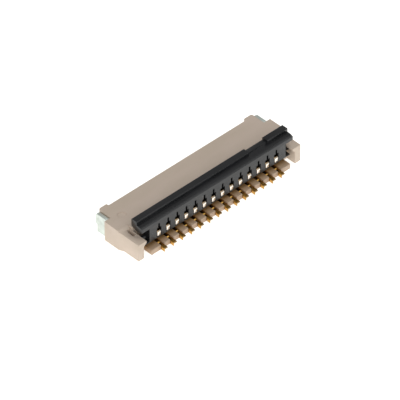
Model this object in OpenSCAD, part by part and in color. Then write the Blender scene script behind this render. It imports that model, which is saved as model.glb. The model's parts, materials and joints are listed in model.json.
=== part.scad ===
// Right-angle connector for a flat flexible cable, with a lever that flips up at the back.
// +X runs along the contact row, +Y points out of the cable mouth, +Z is up.
// Z = 0 is the circuit board, and Y = 0 is the middle of the footprint.

/* [Contact row] */
// Number of contacts
contacts_n = 14; // [4:1:30]
// Distance between neighbouring contacts
pitch = 0.5; // [0.46:0.02:0.8]
// Thickness of the strip that the contacts are stamped from
strip_t = 0.18; // [0.12:0.01:0.2]
// Side gap between a contact and its slot
slot_gap = 0.01; // [0.005:0.005:0.02]

/* [Contact shape] */
// Height of a solder tail
tail_h = 0.17; // [0.12:0.01:0.2]
// Reach of a solder tail behind the comb
tail_reach = 0.22; // [0.1:0.01:0.6]
// Height of the lower arm
low_arm_h = 0.15; // [0.1:0.01:0.17]
// Height of the upper arm, which the lever's foot lifts
up_arm_h = 0.18; // [0.12:0.01:0.2]
// Length of the upright that joins the two arms
upright_w = 0.2; // [0.14:0.01:0.3]
// Drop of the hook at the back end of the upper arm
hook_drop = 0.06; // [0.03:0.01:0.07]
// Length of that hook
hook_len = 0.14; // [0.1:0.01:0.18]
// Radius of the bumps that touch the cable
bump_r = 0.09; // [0.07:0.01:0.1]

/* [Cable entry] */
// Height of the mouth's floor above the board
entry_floor = 0.3; // [0.28:0.01:0.34]
// Height of the mouth
entry_h = 0.36; // [0.32:0.01:0.42]
// Depth of the mouth, from its stop to its rim
entry_depth = 1.2; // [1:0.05:2]
// Width that the mouth leaves beyond the cable on each side
cable_gap = 0.04; // [0.02:0.01:0.08]
// Lead-in chamfer round the mouth
lead_in = 0.1; // [0.04:0.01:0.12]

/* [Housing] */
// Height of the housing over the board
housing_h = 0.99; // [0.96:0.01:1.2]
// Thickness of each end wall beyond the mouth
end_wall = 0.7; // [0.64:0.01:0.9]
// Skin under the contacts
floor_skin = 0.05; // [0.03:0.01:0.08]
// Height of the comb and of the floor under the lever
comb_h = 0.24; // [0.21:0.01:0.26]
// Reach of the comb behind the ears
comb_out = 0.08; // [0.04:0.01:0.15]
// Length of comb beyond the middle of each outer contact
comb_end = 0.594; // [0.5:0.01:0.62]
// Length of the webs that the contacts are pressed between
web_len = 0.49; // [0.45:0.01:0.7]
// Reach of the guide corners in front of the mouth
guide_out = 0.1; // [0.04:0.01:0.2]
// Thickness of the raised side panels
panel_t = 0.1; // [0.04:0.01:0.2]
// Length of the raised side panels
panel_len = 0.83; // [0.6:0.01:1]
// Height lost at the back of the end walls
end_fall = 0.15; // [0.08:0.01:0.17]
// Thickness of the back legs of the end walls
leg_t = 0.3; // [0.25:0.01:0.34]
// Diameter of the moulded mark beside the first contact
mark_d = 0.4; // [0.2:0.05:0.6]

/* [Lever] */
// Height of the hinge axis over the board
hinge_z = 0.63; // [0.62:0.01:0.66]
// Distance from the lever's slotted face to the hinge axis
hinge_in = 0.3; // [0.28:0.01:0.34]
// Thickness of the lever
lever_t = 0.63; // [0.6:0.005:0.66]
// Height of the lever's top over the board when it is open
lever_top = 1.62; // [1.55:0.01:1.8]
// Height of the lever's foot over the board when it is open
foot_z = 0.47; // [0.44:0.01:0.49]
// Height of the foot's cam bar
foot_h = 0.075; // [0.06:0.005:0.08]
// Length of the slotted plate beyond the middle of each outer contact
plate_end = 0.52; // [0.45:0.01:0.55]
// Reach of the finger bar beyond the plate at each end
bar_end = 0.405; // [0.3:0.005:0.43]
// Width of the ridge along the bar's top
ridge_w = 0.315; // [0.25:0.005:0.36]
// Height of that ridge over the shelf behind it
ridge_h = 0.17; // [0.1:0.01:0.2]
// Height of the low step that is left of the ridge in its gap
gap_step = 0.035; // [0.02:0.005:0.06]
// Width of a window round a contact
window_w = 0.25; // [0.22:0.01:0.3]
// Width of the slit above each window
slit_w = 0.09; // [0.05:0.01:0.12]
// Height of that slit
slit_h = 0.2; // [0.1:0.01:0.25]
// Length of the block that ends the ridge after its gap
block_len = 1.125; // [0.8:0.025:1.5]
// Length of the gap in the ridge
gap_len = 1.04; // [0.6:0.02:1.5]
// Radius of the pivot pins
pin_r = 0.1; // [0.07:0.01:0.11]
// Running gap round the pivot pins
pin_gap = 0.015; // [0.01:0.005:0.02]
// Gap between the lever's ends and the housing
end_gap = 0.03; // [0.02:0.01:0.05]

/* [Solder tabs] */
// Thickness of a tab
tab_t = 0.17; // [0.12:0.01:0.19]
// Gap between a tab and the housing's wall
tab_slit = 0.03; // [0.01:0.01:0.05]
// Height of a tab
tab_h = 0.94; // [0.8:0.01:0.95]
// Length of a tab's plate
tab_len = 0.7; // [0.5:0.01:0.72]
// Length of the tongue pressed into the side panel
tongue_len = 0.35; // [0.2:0.01:0.5]

/* [Hidden] */
$fn = 48;
eps = 0.01;
far = 10 * housing_h;
// Lengths along the row
row = (contacts_n - 1) * pitch;
row_x = [for (i = [0 : contacts_n - 1]) i * pitch - row / 2];
slot_w = strip_t + 2 * slot_gap;
entry_x = row / 2 + pitch / 2 + pitch / 2 + cable_gap;
out_x = entry_x + end_wall;
panel_x = out_x + panel_t;
comb_x = row / 2 + comb_end;
leg_x = out_x - leg_t;
plate_x = row / 2 + plate_end;
bar_x = plate_x + bar_end;
wall_x = leg_x - 0.14;
foot_x = wall_x - end_gap;
bore_x = out_x - 0.08;
pin_x = bore_x - end_gap;
notch_x = out_x - 0.04 - tab_t - tab_slit;
// Stations from back to front, counted from the back of the legs
front_y = 0.12;
hinge_y = front_y + hinge_in;
back_y = front_y + lever_t;
foot_r = norm([back_y - hinge_y, hinge_z - foot_z]);
cavity_y = hinge_y + foot_r + 0.037;
stop_y = cavity_y + web_len;
mouth_y = stop_y + entry_depth;
guide_y = mouth_y + guide_out;
tail_y = -comb_out - tail_reach;
upright_y = cavity_y + 0.14;
panel_y1 = mouth_y - 0.63;
panel_y0 = panel_y1 - panel_len;
step_y = cavity_y - 0.36;
fall_y = cavity_y + 0.33;
hook_y1 = front_y;
gap_y = back_y - ridge_w + 0.09;
mid_y = (tail_y + guide_y) / 2;
// Heights
entry_top = entry_floor + entry_h;
low_z = floor_skin + low_arm_h;
arm_top = hinge_z + up_arm_h;
groove_top = max(arm_top, entry_top + up_arm_h) + 0.05;
shelf_z = lever_top - ridge_h;
hook_z = hinge_z - hook_drop;
foot_top = foot_z + foot_h;
window_top = hinge_z + norm([hinge_in, up_arm_h]) + 0.03;
bar_z = hinge_z + 0.48;
hook_slope = hook_len / 2;
contact_tip_y = mouth_y - 0.35;
bump_y = mouth_y - 0.5;
bump_low_z = entry_floor + 0.01;
bump_up_z = entry_top - 0.03;
edge = 0.03;
// Solder tab and the pocket for its tongue
tab_x0 = notch_x + tab_slit;
tab_x1 = tab_x0 + tab_t;
tongue_z0 = 0.3;
tongue_z1 = 0.62;

function two_digits(n) = n < 10 ? str("0", n) : str(n);
function contact_name(i) = str("contact_", two_digits(i + 1));

// Extrudes a [Y, Z] drawing along X, centred on x
module along_x(width, x = 0)
    translate([x, 0, 0])
        rotate([90, 0, 90])
            linear_extrude(width, center = true)
                children();

// Extrudes an [X, Z] drawing along Y, from y0 to y1
module along_y(y0, y1)
    translate([0, y1, 0])
        rotate([90, 0, 0])
            linear_extrude(y1 - y0)
                children();

// A box between two corners
module span(low, high)
    translate(low)
        cube(high - low);

// The waste outside a rounded corner, which points to +X and +Y when turn is 0
module corner_waste(at, r, turn)
    translate(at)
        rotate(turn)
            translate([-r, -r])
                difference() {
                    square(r + eps);
                    circle(r);
                }

// Repeats what is at +X at -X as well
module both_ends() {
    children();
    mirror([1, 0, 0])
        children();
}

// Moves a piece from the legs' back to the middle of the footprint
module seated()
    translate([0, -mid_y, 0])
        children();

// Floor, webs and top plate in one outline
module shell_outline()
    difference() {
        polygon([
            [-comb_out, 0],
            [mouth_y, 0],
            [mouth_y, entry_floor - lead_in],
            [mouth_y - lead_in, entry_floor],
            [stop_y, entry_floor],
            [stop_y, entry_top],
            [mouth_y - lead_in, entry_top],
            [mouth_y, entry_top + lead_in],
            [mouth_y, housing_h],
            [cavity_y, housing_h],
            [cavity_y, comb_h],
            [-comb_out, comb_h]
        ]);
        corner_waste([mouth_y, housing_h], edge, 0);
        corner_waste([cavity_y, housing_h], edge, 90);
        corner_waste([-comb_out, comb_h], edge, 90);
    }

// The slot that one contact slides into from the back
module slot_outline()
    polygon([
        [-1, -1],
        [hook_y1, -1],
        [hook_y1 + floor_skin, floor_skin],
        [contact_tip_y + 0.05, floor_skin],
        [contact_tip_y + 0.05, groove_top],
        [-1, groove_top]
    ]);

// Plan of one end of the housing, from the mouth's side wall outwards
module end_plan()
    difference() {
        polygon([
            [entry_x - eps, cavity_y],
            [out_x, cavity_y],
            [panel_x, panel_y0],
            [panel_x, panel_y1],
            [notch_x, panel_y1],
            [notch_x, guide_y],
            [entry_x + 0.03, guide_y],
            [entry_x, mouth_y],
            [entry_x - eps, mouth_y]
        ]);
        corner_waste([notch_x, guide_y], 0.1, 0);
    }

// Back leg, bearing wall and the floor between them at one end
module end_back() {
    span([leg_x, 0, 0], [out_x, cavity_y + eps, housing_h]);
    span([wall_x, step_y, 0], [leg_x + eps, cavity_y + eps, housing_h]);
    span([comb_x - eps, step_y, 0], [wall_x + eps, cavity_y + eps, comb_h]);
    span([comb_x - eps, cavity_y, 0], [wall_x + eps, cavity_y + web_len, housing_h]);
    along_y(0, step_y + eps)
        polygon([
            [leg_x + eps, hinge_z - 0.02],
            [wall_x, hinge_z + 0.11],
            [wall_x, housing_h],
            [leg_x + eps, housing_h]
        ]);
}

// What the end wall loses on top, where it falls to the level of the back leg
module end_fall_waste()
    translate([far / 2, 0, 0])
        along_x(far, wall_x - eps)
            polygon([
                [-1, housing_h - end_fall - 0.01],
                [cavity_y, housing_h - end_fall],
                [fall_y, housing_h],
                [fall_y, far],
                [-1, far]
            ]);

module housing()
    color("#d6c8b8")
    seated()
    difference() {
        union() {
            along_x(2 * comb_x)
                shell_outline();
            both_ends() {
                linear_extrude(housing_h)
                    end_plan();
                end_back();
            }
        }
        for (x = row_x)
            along_x(slot_w, x)
                slot_outline();
        both_ends() {
            end_fall_waste();
            // bearing for the pivot pin
            translate([wall_x - 0.05, hinge_y, hinge_z])
                rotate([0, 90, 0])
                    cylinder(r = pin_r + pin_gap, h = bore_x - wall_x + 0.05);
            // moulded pocket behind the bearing
            span([wall_x + 0.04, hinge_y + 0.14, foot_z], [leg_x + 0.06, cavity_y + 0.13, far]);
            // pocket that grips the solder tab's tongue
            span([tab_x0, panel_y1 - tongue_len, tongue_z0], [tab_x1, panel_y1 + 1, tongue_z1]);
        }
        translate([-row / 2 - 0.575, stop_y + 0.365, housing_h - 0.03])
            cylinder(d = mark_d, h = 1);
    }

// One stamped contact: tail, lower arm, upright and upper arm
module contact_outline() {
    // tail and lower arm
    polygon([
        [tail_y, 0],
        [hook_y1 - 0.01, 0],
        [hook_y1 - 0.01 + floor_skin, floor_skin],
        [contact_tip_y, floor_skin],
        [contact_tip_y, floor_skin + low_arm_h * 0.7],
        [upright_y + upright_w, low_z],
        [hook_y1 + 0.05, low_z],
        [hook_y1, tail_h],
        [tail_y + 0.03, tail_h],
        [tail_y, tail_h - 0.03]
    ]);
    // upright, which fills its slot from floor to top
    translate([upright_y, floor_skin])
        square([upright_w, groove_top - floor_skin]);
    // upper arm behind the upright, with its hook
    polygon([
        [front_y, hook_z],
        [front_y + hook_len - hook_slope, hook_z],
        [front_y + hook_len, hinge_z],
        [upright_y + eps, hinge_z],
        [upright_y + eps, arm_top],
        [front_y + 0.04, arm_top],
        [front_y, arm_top - 0.05]
    ]);
    // upper arm over the cable
    polygon([
        [upright_y + upright_w - eps, entry_top],
        [contact_tip_y, bump_up_z + 0.05],
        [contact_tip_y, arm_top - 0.02],
        [upright_y + upright_w - eps, arm_top]
    ]);
    // bumps that press on the cable
    translate([bump_y, bump_low_z - bump_r])
        circle(bump_r);
    translate([bump_y, bump_up_z - 0.01 + bump_r])
        circle(bump_r);
}

module contact(i)
    color("#c9a24e")
    seated()
    along_x(strip_t, row_x[i])
        contact_outline();

// Section of the slotted plate with its bar
module plate_outline()
    difference() {
        polygon([
            [front_y, foot_z],
            [back_y, foot_z],
            [back_y, lever_top],
            [back_y - ridge_w, lever_top],
            [back_y - ridge_w, shelf_z],
            [front_y + 0.12, shelf_z - 0.01],
            [front_y, shelf_z - 0.06]
        ]);
        corner_waste([front_y, foot_z], 0.05, 180);
        corner_waste([back_y, foot_z], 0.05, 270);
        corner_waste([back_y, lever_top], edge, 0);
        corner_waste([back_y - ridge_w, lever_top], edge, 90);
    }

// Section of the bar where it runs past the plate
module bar_outline()
    difference() {
        plate_outline();
        polygon([
            [front_y - 1, bar_z + 0.1],
            [front_y, bar_z + 0.1],
            [hinge_y - 0.12, bar_z - 0.01],
            [back_y, bar_z + 0.14],
            [back_y + 1, bar_z + 0.14],
            [back_y + 1, 0],
            [front_y - 1, 0]
        ]);
    }

// Room that one contact needs while the lever turns
module window_outline() {
    // swing of the upper arm's back end
    intersection() {
        translate([hinge_y, hinge_z])
            circle(window_top - hinge_z);
        translate([front_y - 1, foot_top])
            square([hinge_in + 1 + up_arm_h + 0.02, 2]);
    }
    // open front
    translate([front_y - 1, foot_top])
        square([hinge_in + 1, window_top - foot_top - eps]);
    // way out at the back, where the upper arm meets its upright
    translate([hinge_y - eps, foot_z - 1])
        square([1, arm_top + 0.03 - foot_z + 1]);
}

module actuator()
    color("#26272a")
    seated()
    difference() {
        union() {
            along_x(2 * plate_x)
                plate_outline();
            along_x(2 * bar_x)
                bar_outline();
            // cam bar along the foot
            along_x(2 * foot_x)
                difference() {
                    translate([front_y, foot_z])
                        square([hinge_in - 0.02, foot_h]);
                    corner_waste([front_y, foot_z], 0.05, 180);
                }
            // pivot pins
            translate([-pin_x, hinge_y, hinge_z])
                rotate([0, 90, 0])
                    cylinder(r = pin_r, h = 2 * pin_x);
        }
        for (x = row_x) {
            along_x(window_w, x)
                window_outline();
            along_x(slit_w, x)
                translate([front_y - 1, window_top - 0.1])
                    square([1.25, slit_h + 0.1]);
        }
        // gap in the ridge, with its low step
        translate([bar_x - block_len - gap_len / 2, 0, 0])
            along_x(gap_len)
                polygon([
                    [front_y - 1, shelf_z],
                    [gap_y, shelf_z],
                    [gap_y, shelf_z + gap_step],
                    [back_y + 1, shelf_z + gap_step],
                    [back_y + 1, far],
                    [front_y - 1, far]
                ]);
    }

// Plate that is soldered down, with the tongue that holds it in the side wall
module tab_outline() {
    difference() {
        polygon([
            [panel_y1 + 0.02, 0],
            [panel_y1 + tab_len - 0.1, 0],
            [panel_y1 + tab_len - 0.1, 0.36],
            [panel_y1 + tab_len, 0.42],
            [panel_y1 + tab_len, tab_h],
            [panel_y1 + 0.02, tab_h]
        ]);
        corner_waste([panel_y1 + tab_len, tab_h], 0.16, 0);
    }
    translate([panel_y1 - tongue_len + 0.02, tongue_z0])
        square([tongue_len + 0.02, tongue_z1 - tongue_z0]);
}

module solder_tab()
    color("#dfe2dd")
    seated()
    along_x(tab_t, (tab_x0 + tab_x1) / 2)
        tab_outline();

module solder_tab_right()
    solder_tab();

module solder_tab_left()
    mirror([1, 0, 0])
        solder_tab();

housing();
actuator();
for (i = [0 : contacts_n - 1])
    contact(i);
solder_tab_left();
solder_tab_right();
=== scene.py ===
import json
from math import cos, radians, sin

import bmesh
import bpy
from mathutils import Matrix, Vector

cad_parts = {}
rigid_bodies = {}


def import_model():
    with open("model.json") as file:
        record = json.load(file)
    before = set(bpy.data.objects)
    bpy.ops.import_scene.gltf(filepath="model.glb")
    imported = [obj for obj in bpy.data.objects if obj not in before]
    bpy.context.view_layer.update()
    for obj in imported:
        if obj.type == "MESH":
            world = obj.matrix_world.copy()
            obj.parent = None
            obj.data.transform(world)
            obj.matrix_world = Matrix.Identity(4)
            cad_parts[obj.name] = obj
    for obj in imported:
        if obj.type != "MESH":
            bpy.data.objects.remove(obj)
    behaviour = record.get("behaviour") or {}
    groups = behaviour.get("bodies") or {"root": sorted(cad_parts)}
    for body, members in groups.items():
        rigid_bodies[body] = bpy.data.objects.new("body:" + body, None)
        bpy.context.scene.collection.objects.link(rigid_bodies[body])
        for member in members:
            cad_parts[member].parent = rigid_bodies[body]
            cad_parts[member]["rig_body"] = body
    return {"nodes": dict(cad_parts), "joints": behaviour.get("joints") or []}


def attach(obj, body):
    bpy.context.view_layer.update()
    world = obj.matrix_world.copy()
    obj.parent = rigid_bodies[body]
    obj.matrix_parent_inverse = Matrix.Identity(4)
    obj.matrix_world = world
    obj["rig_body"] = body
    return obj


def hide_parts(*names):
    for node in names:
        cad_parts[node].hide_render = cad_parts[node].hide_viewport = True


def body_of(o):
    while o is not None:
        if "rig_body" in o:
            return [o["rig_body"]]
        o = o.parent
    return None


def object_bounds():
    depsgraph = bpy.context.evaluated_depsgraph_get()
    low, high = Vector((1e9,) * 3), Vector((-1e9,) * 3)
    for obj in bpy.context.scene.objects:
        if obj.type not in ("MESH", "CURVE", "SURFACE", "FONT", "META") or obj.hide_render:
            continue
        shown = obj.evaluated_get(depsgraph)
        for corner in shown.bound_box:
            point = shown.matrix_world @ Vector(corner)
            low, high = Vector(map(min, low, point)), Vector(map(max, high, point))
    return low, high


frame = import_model()
cadLow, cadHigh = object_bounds()
print("frame loaded, mm:", [round(1000 * v, 2) for v in cadHigh - cadLow])

mm = 0.001
nodes = frame["nodes"]
hingeAt = Vector(frame["joints"][0]["pos_m"])


def linearColour(hexCode):
    # sRGB hex to the linear values that Blender's sockets take
    def channel(i):
        c = int(hexCode[i:i + 2], 16) / 255
        return c / 12.92 if c <= 0.04045 else ((c + 0.055) / 1.055) ** 2.4
    return (channel(0), channel(2), channel(4), 1.0)


def addNode(tree, kind, settings=None, inputs=None):
    # one node, with its settings, its socket values and the links that feed it
    node = tree.nodes.new(kind)
    for key, value in (settings or {}).items():
        setattr(node, key, value)
    for key, value in (inputs or {}).items():
        if isinstance(value, bpy.types.NodeSocket):
            tree.links.new(value, node.inputs[key])
        else:
            node.inputs[key].default_value = value
    return node


def newMaterial(name):
    # a named material with an empty tree but its output
    material = bpy.data.materials.new(name)
    material.use_nodes = True
    tree = material.node_tree
    tree.nodes.clear()
    output = addNode(tree, "ShaderNodeOutputMaterial")
    return material, tree, output


def outward(azimuth, elevation):
    # from the part towards a bearing in degrees: 0 is straight behind the lever, 90 its right
    a, e = radians(azimuth), radians(elevation)
    return Vector((sin(a) * cos(e), -cos(a) * cos(e), sin(e)))


camera = {
    "azimuth": -43.4,        # degrees round the part, from behind the lever and to its left
    "elevation": 41.2,
    "roll": -0.1,
    "distance": 235 * mm,
    "lens": 525.6,           # a long lens, so the rows stay almost parallel
    "sensorWidth": 36,
    "clip": (0.01, 10),      # m
    "legsBehind": 0.42 * mm, # from the hinge axis back to the legs of the contact row
    "aim": (-0.815, 0.42),   # mm to the right and up from the middle of those legs
}


def makeCamera(spec):
    turn, roll = radians(spec["azimuth"]), radians(spec["roll"])
    back = outward(spec["azimuth"], spec["elevation"])
    level = Vector((cos(turn), sin(turn), 0))
    rise = back.cross(level)
    right = level * cos(roll) + rise * sin(roll)
    up = rise * cos(roll) - level * sin(roll)
    legs = Vector((0, hingeAt.y - spec["legsBehind"], 0))
    aim = legs + right * spec["aim"][0] * mm + up * spec["aim"][1] * mm
    data = bpy.data.cameras.new("camera")
    data.sensor_width = spec["sensorWidth"]
    data.lens = spec["lens"]
    data.clip_start, data.clip_end = spec["clip"]
    data.dof.use_dof = False
    obj = bpy.data.objects.new("camera", data)
    bpy.context.scene.collection.objects.link(obj)
    obj.location = aim + back * spec["distance"]
    obj.rotation_mode = "QUATERNION"
    obj.rotation_quaternion = Matrix((right, up, back)).transposed().to_quaternion()
    bpy.context.scene.camera = obj


makeCamera(camera)
print("camera placed")

studio = {
    "floorHex": "f4f4f2",
    "floorGlow": 0.8,
    "floorRough": 0.9,
    "floorGloss": 0.1,
    "floorSize": 400 * mm,
    "floorDrop": 0.002 * mm, # below the solder faces, so that the two don't share a plane
    "worldHex": "ffffff",
    "worldStrength": 0.42,
    "lights": {              # name: (azimuth, elevation, distance mm, size mm, watts)
        "leftPanel": (-70, 25, 130, 120, 0.05),
        "backPanel": (-10, 35, 130, 110, 0.03),
        "topPanel": (60, 70, 130, 90, 0.03),
    },
}


def makeFloor(spec):
    half = spec["floorSize"] / 2
    mesh = bpy.data.meshes.new("floor")
    corners = [(-half, -half, 0), (half, -half, 0), (half, half, 0), (-half, half, 0)]
    mesh.from_pydata(corners, [], [(0, 1, 2, 3)])
    floor = bpy.data.objects.new("floor", mesh)
    bpy.context.scene.collection.objects.link(floor)
    floor.location.z = -spec["floorDrop"]
    material, tree, output = newMaterial("paperSweep")   # matt white paper, evenly bright
    paper = addNode(tree, "ShaderNodeBsdfPrincipled", inputs={
        "Base Color": linearColour(spec["floorHex"]),
        "Roughness": spec["floorRough"],
        "Specular IOR Level": spec["floorGloss"],
        "Emission Color": linearColour(spec["floorHex"]),
        "Emission Strength": spec["floorGlow"],
    })
    tree.links.new(paper.outputs[0], output.inputs["Surface"])
    mesh.materials.append(material)


def makeStudio(spec):
    scene = bpy.context.scene
    scene.view_settings.view_transform = "Standard"
    scene.view_settings.look = "None"

    world = bpy.data.worlds.new("softRoom")
    scene.world = world
    world.use_nodes = True
    background = world.node_tree.nodes["Background"]
    background.inputs["Color"].default_value = linearColour(spec["worldHex"])
    background.inputs["Strength"].default_value = spec["worldStrength"]

    makeFloor(spec)
    for name, (azimuth, elevation, distance, size, power) in spec["lights"].items():
        away = outward(azimuth, elevation)
        data = bpy.data.lights.new(name, "AREA")
        data.size = size * mm
        data.energy = power
        obj = bpy.data.objects.new(name, data)
        scene.collection.objects.link(obj)
        obj.location = away * distance * mm
        obj.rotation_mode = "QUATERNION"
        obj.rotation_quaternion = (-away).to_track_quat("-Z", "Y")


makeStudio(studio)
print("studio lit")

patternSpan = {"From Min": 0.3, "From Max": 0.7}         # where most of a pattern's values lie


def partPattern(tree, kind, spacing, stretch=(1, 1, 1), **inputs):
    # a texture whose spacing is in the part's own millimetres
    place = addNode(tree, "ShaderNodeTexCoord")
    fit = addNode(tree, "ShaderNodeMapping", inputs={
        "Vector": place.outputs["Object"],
        "Scale": [share / (spacing * mm) for share in stretch],
    })
    return addNode(tree, kind, inputs={"Vector": fit.outputs["Vector"], "Scale": 1.0, **inputs})


def mottled(tree, pattern, firstHex, secondHex):
    # two close shades of one resin or plating, which drift into each other
    drift = addNode(tree, "ShaderNodeMapRange", inputs={
        "Value": pattern.outputs["Fac"], **patternSpan,
    })
    shades = addNode(tree, "ShaderNodeMix", {"data_type": "RGBA"}, {
        0: drift.outputs["Result"], 6: linearColour(firstHex), 7: linearColour(secondHex),
    })
    return shades.outputs[2]


def finishShader(tree, output, colour, roughBy, roughness, bumps, **inputs):
    # the shader of every part: bumps are (height socket, depth in mm), finest last
    normal = None
    for height, depth in bumps:
        bump = addNode(tree, "ShaderNodeBump", inputs={"Height": height, "Distance": depth * mm})
        if normal:
            tree.links.new(normal, bump.inputs["Normal"])
        normal = bump.outputs["Normal"]
    rough = addNode(tree, "ShaderNodeMapRange", inputs={
        "Value": roughBy, **patternSpan, "To Min": roughness[0], "To Max": roughness[1],
    })
    shader = addNode(tree, "ShaderNodeBsdfPrincipled", inputs={
        "Base Color": colour, "Roughness": rough.outputs["Result"], "Normal": normal, **inputs,
    })
    tree.links.new(shader.outputs[0], output.inputs["Surface"])


housingResin = {
    "hex": "cdbcad",
    "flowHex": "c4b4a2",     # where the resin's flow lines show
    "flow": 0.9,             # mm between flow lines
    "flowStretch": (0.3, 1, 1),
    "flowDepth": 0.004,      # mm
    "grain": 0.05,           # mm between the pits of the eroded mould
    "grainDepth": 0.003,     # mm
    "roughness": (0.42, 0.6),
    "paintedCombShadeHex": "9a7445",     # painted shade under the lever with painted gold bounce light from the contacts, low on the housing between the tails
    "combTop": 0.3,          # mm over the board, where the painted shade has gone
    "combSoft": 0.05,        # mm below that, over which it goes
    "combFront": 0.12,       # mm behind the hinge axis: full painted shade from here forwards
    "combReach": 0.5,        # mm behind that, over which it weakens
    "combLeast": 0.25,       # share of the painted shade that is left there
    "rowInset": 0.72,        # mm at each end of the part that the row doesn't reach
}


def paintedCombShade(tree, spec):
    # how much painted shade and painted gold bounce light each place takes: only what is low and inside
    # the row, less towards the tails' ends, and all of it forwards of the comb, so the mouth's floor
    # takes it too
    place = addNode(tree, "ShaderNodeTexCoord")
    axes = addNode(tree, "ShaderNodeSeparateXYZ", inputs={"Vector": place.outputs["Object"]})
    top = spec["combTop"] * mm
    back = hingeAt.y - spec["combFront"] * mm
    low = addNode(tree, "ShaderNodeMapRange", inputs={
        "Value": axes.outputs["Z"], "From Min": top - spec["combSoft"] * mm, "From Max": top,
        "To Min": 1.0, "To Max": 0.0,
    })
    behind = addNode(tree, "ShaderNodeMapRange", inputs={
        "Value": axes.outputs["Y"], "From Min": back - spec["combReach"] * mm, "From Max": back,
        "To Min": spec["combLeast"], "To Max": 1.0,
    })
    inRow = addNode(tree, "ShaderNodeMath", {"operation": "COMPARE"}, {
        0: axes.outputs["X"], 1: 0.0, 2: cadHigh.x - spec["rowInset"] * mm,
    })
    lowBehind = addNode(tree, "ShaderNodeMath", {"operation": "MULTIPLY"}, {
        0: low.outputs["Result"], 1: behind.outputs["Result"],
    })
    return addNode(tree, "ShaderNodeMath", {"operation": "MULTIPLY"}, {
        0: lowBehind.outputs[0], 1: inRow.outputs[0],
    }).outputs[0]


def mouldedBeige(spec):
    # liquid-crystal polymer, moulded: chalky, with a fine pitted skin and faint flow lines
    material, tree, output = newMaterial("mouldedBeigePolymer")
    flow = partPattern(tree, "ShaderNodeTexNoise", spec["flow"], spec["flowStretch"],
                       Detail=4.0, Roughness=0.6)
    grain = partPattern(tree, "ShaderNodeTexNoise", spec["grain"], Detail=3.0, Roughness=0.6)
    shades = mottled(tree, flow, spec["hex"], spec["flowHex"])
    # painted shade and painted gold bounce light over the resin, low between the tails
    colour = addNode(tree, "ShaderNodeMix", {"data_type": "RGBA"}, {
        0: paintedCombShade(tree, spec), 6: shades, 7: linearColour(spec["paintedCombShadeHex"]),
    }).outputs[2]
    finishShader(tree, output, colour, grain.outputs["Fac"], spec["roughness"], [
        (flow.outputs["Fac"], spec["flowDepth"]),
        (grain.outputs["Fac"], spec["grainDepth"]),
    ])
    return material


leverResin = {
    "hex": "0c0d0f",
    "wornHex": "16171a",
    "cloud": 0.7,            # mm between duller and glossier patches
    "cloudStretch": (0.4, 1, 1),
    "grain": 0.04,           # mm between the pits of the mould
    "grainDepth": 0.0025,    # mm
    "roughness": (0.2, 0.34),
}


def mouldedBlack(spec):
    # liquid-crystal polymer filled with carbon black: dark, with a satin sheen
    material, tree, output = newMaterial("mouldedBlackPolymer")
    cloud = partPattern(tree, "ShaderNodeTexNoise", spec["cloud"], spec["cloudStretch"], Detail=4.0)
    grain = partPattern(tree, "ShaderNodeTexNoise", spec["grain"], Detail=3.0, Roughness=0.65)
    colour = mottled(tree, cloud, spec["hex"], spec["wornHex"])
    finishShader(tree, output, colour, cloud.outputs["Fac"], spec["roughness"], [
        (grain.outputs["Fac"], spec["grainDepth"]),
    ])
    return material


contactMetal = {
    "hex": "c79a52",
    "thinHex": "a9803f",     # where the plating is thin
    "endHex": "f4efe6",      # pale, on the faces that look backwards, the tails' ends among them
    "endFacing": (-0.95, -0.6),  # a face's backward lean at which it is all end, and not end
    "streak": 0.03,          # mm between the die's drawn lines, coarser than real ones, to show
    "streakStretch": (1, 0.12, 1),
    "streakDepth": 0.0015,   # mm
    "cloud": 0.25,           # mm between thick and thin plating
    "roughness": (0.18, 0.34),
}


def goldPlated(spec):
    # phosphor bronze under a gold flash, stamped: bright tan flats with drawn lines, pale ends
    material, tree, output = newMaterial("goldPlatedBronze")
    streak = partPattern(tree, "ShaderNodeTexNoise", spec["streak"], spec["streakStretch"], Detail=2.0)
    cloud = partPattern(tree, "ShaderNodeTexNoise", spec["cloud"], Detail=3.0)
    flats = mottled(tree, cloud, spec["hex"], spec["thinHex"])
    face = addNode(tree, "ShaderNodeTexCoord")
    axes = addNode(tree, "ShaderNodeSeparateXYZ", inputs={"Vector": face.outputs["Normal"]})
    allEnd, noEnd = spec["endFacing"]
    isEnd = addNode(tree, "ShaderNodeMapRange", inputs={
        "Value": axes.outputs["Y"], "From Min": allEnd, "From Max": noEnd,
        "To Min": 1.0, "To Max": 0.0,
    })
    colour = addNode(tree, "ShaderNodeMix", {"data_type": "RGBA"}, {
        0: isEnd.outputs["Result"], 6: flats, 7: linearColour(spec["endHex"]),
    }).outputs[2]
    finishShader(tree, output, colour, streak.outputs["Fac"], spec["roughness"], [
        (streak.outputs["Fac"], spec["streakDepth"]),
    ], Metallic=1.0)
    return material


tabMetal = {
    "hex": "dfe5de",
    "dullHex": "c9d0c9",
    "crystal": 0.03,         # mm across the tin's crystals, coarser than real ones, to show
    "crystalDepth": 0.002,   # mm
    "cloud": 0.4,            # mm between bright and dull patches
    "roughness": (0.38, 0.55),
}


def matteTin(spec):
    # electroplated matte tin: a pale, slightly green grey with a fine crystal sparkle
    material, tree, output = newMaterial("matteTinPlate")
    crystal = partPattern(tree, "ShaderNodeTexVoronoi", spec["crystal"])
    cloud = partPattern(tree, "ShaderNodeTexNoise", spec["cloud"], Detail=3.0)
    colour = mottled(tree, cloud, spec["hex"], spec["dullHex"])
    finishShader(tree, output, colour, cloud.outputs["Fac"], spec["roughness"], [
        (crystal.outputs["Distance"], spec["crystalDepth"]),
    ], Metallic=1.0)
    return material


beigePolymer = mouldedBeige(housingResin)
blackPolymer = mouldedBlack(leverResin)
goldPlate = goldPlated(contactMetal)
tinPlate = matteTin(tabMetal)
print("materials made")

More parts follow.
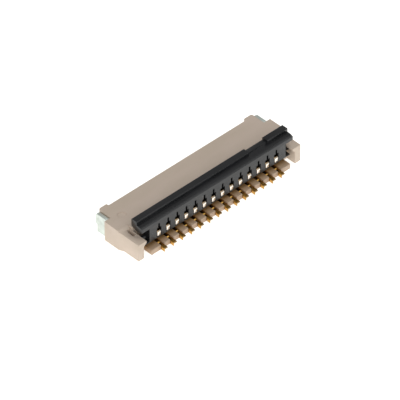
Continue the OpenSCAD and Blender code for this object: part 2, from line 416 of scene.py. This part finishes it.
meshCare = {
    "weld": 0.0005 * mm,     # points closer than this are one
    "flatWithin": 1,         # degrees between faces that are one
    "edgeFrom": 25,          # degrees across a fold that counts as an edge
}


def cleanMesh(mesh, care):
    # whole flat faces in place of the solid's triangles, so that its edges can be broken
    bm = bmesh.new()
    bm.from_mesh(mesh)
    bmesh.ops.remove_doubles(bm, verts=bm.verts, dist=care["weld"])
    bmesh.ops.dissolve_limit(bm, angle_limit=radians(care["flatWithin"]), verts=bm.verts, edges=bm.edges)
    bmesh.ops.recalc_face_normals(bm, faces=bm.faces)
    for face in bm.faces:
        face.smooth = True
        face.material_index = 0
    bm.to_mesh(mesh)
    bm.free()


def dressedPart(node, name, piece, material):
    # a solid of the frame with its edges broken and its finish on
    source = nodes[node]
    mesh = source.data.copy()
    mesh.name = name
    mesh.materials.clear()
    mesh.materials.append(material)
    cleanMesh(mesh, meshCare)
    part = bpy.data.objects.new(name, mesh)
    bpy.context.scene.collection.objects.link(part)
    bevel = part.modifiers.new("edges", "BEVEL")
    bevel.limit_method = "ANGLE"
    bevel.angle_limit = radians(meshCare["edgeFrom"])
    bevel.width = piece["edge"] * mm
    bevel.segments = piece["edgeSteps"]
    bevel.use_clamp_overlap = True
    weighted = part.modifiers.new("flatFaces", "WEIGHTED_NORMAL")
    weighted.keep_sharp = False
    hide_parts(node)
    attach(part, body_of(source)[0])


housingShell = {
    "edge": 0.022,           # mm off each corner
    "edgeSteps": 2,          # facets round it
}
dressedPart("housing", "housingShell", housingShell, beigePolymer)

flipLever = {
    "edge": 0.016,           # mm, crisper than the housing
    "edgeSteps": 2,
}
dressedPart("actuator", "flipLever", flipLever, blackPolymer)

contactBlade = {
    "edge": 0.012,           # mm, the roll of a stamped edge
    "edgeSteps": 2,
}
contactNames = sorted(n for n in nodes if n.startswith("contact_"))
for number, node in enumerate(contactNames, 1):
    dressedPart(node, f"contactBlade{number:02d}", contactBlade, goldPlate)

solderTab = {
    "edge": 0.03,            # mm, a wide soft corner
    "edgeSteps": 2,
}
for side in ("left", "right"):
    dressedPart(f"solder_tab_{side}", f"solderTab.{side}", solderTab, tinPlate)
print("parts dressed")
